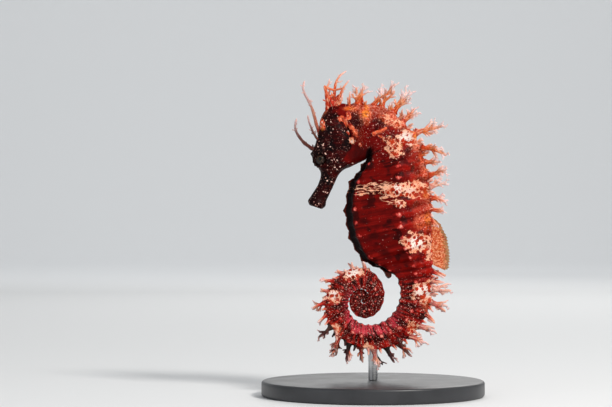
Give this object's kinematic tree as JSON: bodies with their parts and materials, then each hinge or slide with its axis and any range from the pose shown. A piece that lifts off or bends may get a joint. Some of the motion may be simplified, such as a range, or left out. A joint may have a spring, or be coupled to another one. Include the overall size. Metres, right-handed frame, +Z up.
{
  "type": "seahorse",
  "caption": "Life-size still seahorse swimming upright with a coiled tail, ringed body, leafy skin fronds and a thread-crowned head, held on a plain round display stand.",
  "frame": {"origin": "under the middle of the stand's base, on the surface that it stands on", "axes": "+Z up, the head faces -X, the animal's left flank faces -Y"},
  "size_m": [0.058, 0.058, 0.0848],
  "materials": {
    "skin_dark": "moist near-black maroon skin with fine cream specks",
    "skin_red": "moist deep red armoured skin with cream lace patches and dark edges",
    "frond": "soft skin fronds, orange-red at the root and pinkish cream at the tips",
    "fin": "thin translucent amber membrane with fine rays",
    "eye": "clear glossy eye with a dark iris and a thin gold ring",
    "stand_black": "satin charcoal paint",
    "stand_steel": "fine brushed bright steel"
  },
  "bodies": {
    "root": {"snout": "skin_dark", "head": "skin_dark", "neck": "skin_red", "trunk_upper": "skin_red", "trunk_middle": "skin_red", "trunk_lower": "skin_red", "tail_1": "skin_red", "tail_2": "skin_red", "tail_3": "skin_red", "tail_4": "skin_red", "tail_5": "skin_red", "tail_6": "skin_red", "tail_7": "skin_red", "coronet": "frond", "dorsal_fin": "fin", "pectoral_fin_left": "fin", "pectoral_fin_right": "fin", "anal_fin": "fin", "eye_left": "eye", "eye_right": "eye", "stand_base": "stand_black", "stand_rod": "stand_steel"}
  },
  "joints": []
}
